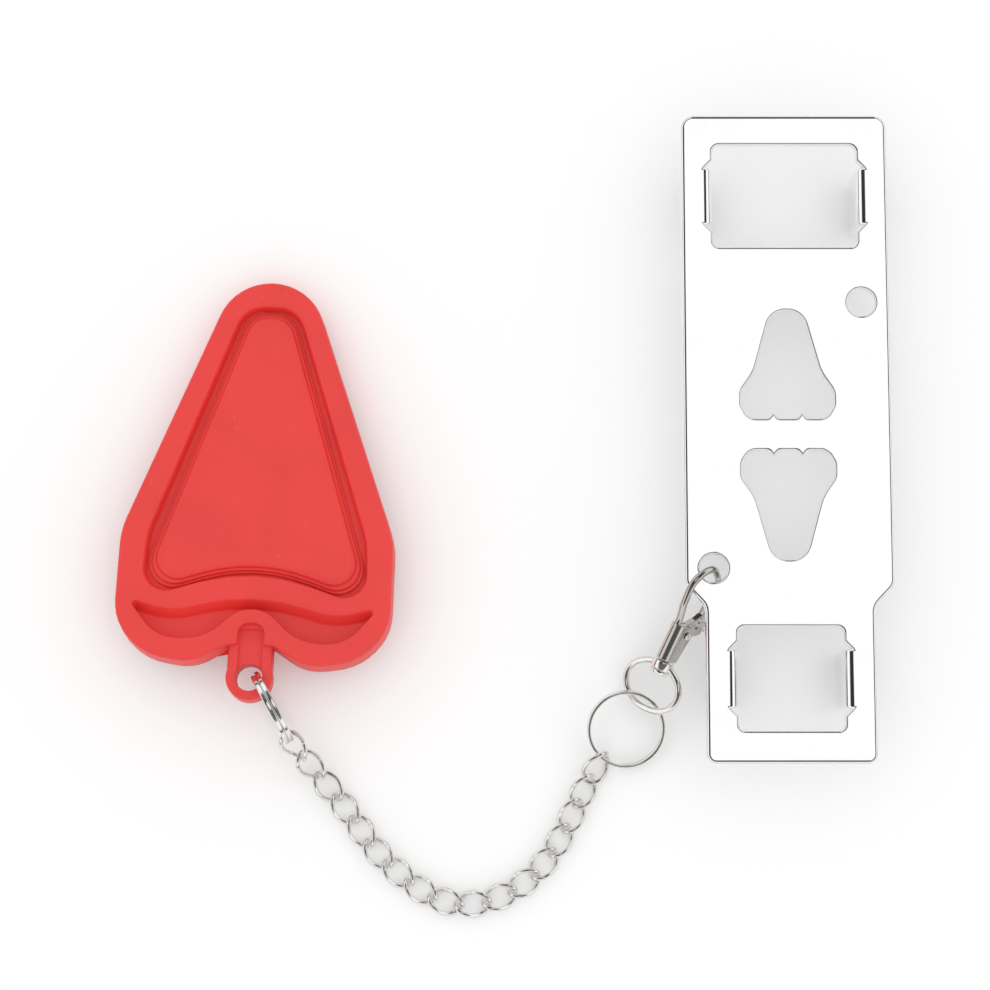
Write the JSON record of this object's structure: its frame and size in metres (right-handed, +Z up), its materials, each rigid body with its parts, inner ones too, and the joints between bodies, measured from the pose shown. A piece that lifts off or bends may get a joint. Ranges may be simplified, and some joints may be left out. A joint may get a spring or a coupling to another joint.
{
  "type": "portable door lock",
  "caption": "Claw plate for a door's strike, with nose-shaped slots, joined by a snap hook and a curb chain to a moulded locking handle with a lug.",
  "frame": {"origin": "middle of the bounding box, on the surface that the lock lies on", "axes": "+Z up, +Y along the plate towards its wide head, +X from the handle towards the plate"},
  "size_m": [0.1558, 0.1622, 0.0169],
  "materials": {
    "polished_steel": "mirror-polished stainless steel",
    "nickel": "bright nickel plate",
    "spring_steel": "drawn spring wire",
    "red_plastic": "satin moulded red plastic"
  },
  "bodies": {
    "plate": {"lock_plate": "polished_steel"},
    "clasp": {"clasp_body": "nickel", "swivel_rivet": "nickel", "lever_pin": "nickel", "lever_spring": "spring_steel"},
    "lever": {"clasp_lever": "nickel"},
    "loop": {"swivel_loop": "nickel"},
    "ring": {"split_ring": "nickel"},
    "link_17": {"link_17": "nickel"},
    "link_16": {"link_16": "nickel"},
    "link_15": {"link_15": "nickel"},
    "link_14": {"link_14": "nickel"},
    "link_13": {"link_13": "nickel"},
    "link_12": {"link_12": "nickel"},
    "link_11": {"link_11": "nickel"},
    "link_10": {"link_10": "nickel"},
    "link_09": {"link_09": "nickel"},
    "link_08": {"link_08": "nickel"},
    "link_07": {"link_07": "nickel"},
    "link_06": {"link_06": "nickel"},
    "link_05": {"link_05": "nickel"},
    "link_04": {"link_04": "nickel"},
    "link_03": {"link_03": "nickel"},
    "link_02": {"link_02": "nickel"},
    "link_01": {"link_01": "nickel"},
    "handle_ring": {"handle_ring": "nickel"},
    "handle": {"handle": "red_plastic"}
  },
  "joints": [
    {"name": "clasp_swing", "type": "hinge", "parent": "plate", "child": "clasp", "pos_m": [0.04173, -0.01184, 0.0121], "axis": [0, 0, 1], "range_deg": [-50, 12]},
    {"name": "lever_open", "type": "hinge", "parent": "clasp", "child": "lever", "pos_m": [0.0356, -0.02436, 0.00847], "axis": [0.6089, -0.5168, 0.6018], "range_deg": [0, 13], "stiffness_Nm_per_rad": 0.002, "springref_deg": -17.19},
    {"name": "loop_swivel", "type": "hinge", "parent": "clasp", "child": "loop", "pos_m": [0.03227, -0.02965, 0.00729], "axis": [0.4342, 0.8521, 0.2924], "continuous": true},
    {"name": "ring_flop", "type": "hinge", "parent": "loop", "child": "ring", "pos_m": [0.02758, -0.03886, 0.00413], "axis": [0.7244, -0.5231, 0.449], "range_deg": [-75, 90]},
    {"name": "link_17_on_ring", "type": "hinge", "parent": "ring", "child": "link_17", "pos_m": [0.02452, -0.0434, 0.00327], "axis": [0.0868, -0.2431, 0.9661], "range_deg": [-35, 60]},
    {"name": "link_16_yaw", "type": "hinge", "parent": "link_17", "child": "link_16", "pos_m": [0.01743, -0.05322, 0.00187], "axis": [0, 0, 1], "range_deg": [-22, 22]},
    {"name": "link_15_pitch", "type": "hinge", "parent": "link_16", "child": "link_15", "pos_m": [0.01481, -0.05815, 0.00158], "axis": [-0.9063, 0.4226, 0], "range_deg": [-22, 22]},
    {"name": "link_14_yaw", "type": "hinge", "parent": "link_15", "child": "link_14", "pos_m": [0.01244, -0.06323, 0.00138], "axis": [0, 0, -1], "range_deg": [-22, 22]},
    {"name": "link_13_pitch", "type": "hinge", "parent": "link_14", "child": "link_13", "pos_m": [0.00964, -0.06808, 0.00138], "axis": [0.788, -0.6157, 0], "range_deg": [-22, 22]},
    {"name": "link_12_yaw", "type": "hinge", "parent": "link_13", "child": "link_12", "pos_m": [0.00619, -0.07249, 0.00138], "axis": [0, 0, 1], "range_deg": [-22, 22]},
    {"name": "link_11_pitch", "type": "hinge", "parent": "link_12", "child": "link_11", "pos_m": [0.00166, -0.07578, 0.00138], "axis": [-0.3907, 0.9205, 0], "range_deg": [-22, 22]},
    {"name": "link_10_yaw", "type": "hinge", "parent": "link_11", "child": "link_10", "pos_m": [-0.00349, -0.07797, 0.00138], "axis": [0, 0, -1], "range_deg": [-22, 22]},
    {"name": "link_09_pitch", "type": "hinge", "parent": "link_10", "child": "link_09", "pos_m": [-0.00906, -0.07855, 0.00138], "axis": [-0.2756, -0.9613, 0], "range_deg": [-22, 22]},
    {"name": "link_08_yaw", "type": "hinge", "parent": "link_09", "child": "link_08", "pos_m": [-0.01444, -0.07701, 0.00138], "axis": [0, 0, 1], "range_deg": [-22, 22]},
    {"name": "link_07_pitch", "type": "hinge", "parent": "link_08", "child": "link_07", "pos_m": [-0.01909, -0.07388, 0.00138], "axis": [0.6428, 0.766, 0], "range_deg": [-22, 22]},
    {"name": "link_06_yaw", "type": "hinge", "parent": "link_07", "child": "link_06", "pos_m": [-0.02338, -0.07028, 0.00138], "axis": [0, 0, -1], "range_deg": [-22, 22]},
    {"name": "link_05_pitch", "type": "hinge", "parent": "link_06", "child": "link_05", "pos_m": [-0.02712, -0.06612, 0.00138], "axis": [-0.829, -0.5592, 0], "range_deg": [-22, 22]},
    {"name": "link_04_yaw", "type": "hinge", "parent": "link_05", "child": "link_04", "pos_m": [-0.03026, -0.06148, 0.00138], "axis": [0, 0, 1], "range_deg": [-22, 22]},
    {"name": "link_03_pitch", "type": "hinge", "parent": "link_04", "child": "link_03", "pos_m": [-0.0337, -0.05706, 0.00138], "axis": [0.7431, 0.6691, 0], "range_deg": [-22, 22]},
    {"name": "link_02_yaw", "type": "hinge", "parent": "link_03", "child": "link_02", "pos_m": [-0.03739, -0.05296, 0.00235], "axis": [0, 0, -1], "range_deg": [-22, 22]},
    {"name": "link_01_pitch", "type": "hinge", "parent": "link_02", "child": "link_01", "pos_m": [-0.04057, -0.04918, 0.00498], "axis": [-0.829, -0.5592, 0], "range_deg": [-22, 22]},
    {"name": "handle_ring_yaw", "type": "hinge", "parent": "link_01", "child": "handle_ring", "pos_m": [-0.04282, -0.04584, 0.00731], "axis": [0, 0, 1], "range_deg": [-35, 35]},
    {"name": "handle_on_ring", "type": "hinge", "parent": "handle_ring", "child": "handle", "pos_m": [-0.04635, -0.03935, 0.00888], "axis": [0.8774, 0.4764, -0.0558], "range_deg": [-60, 90]}
  ]
}
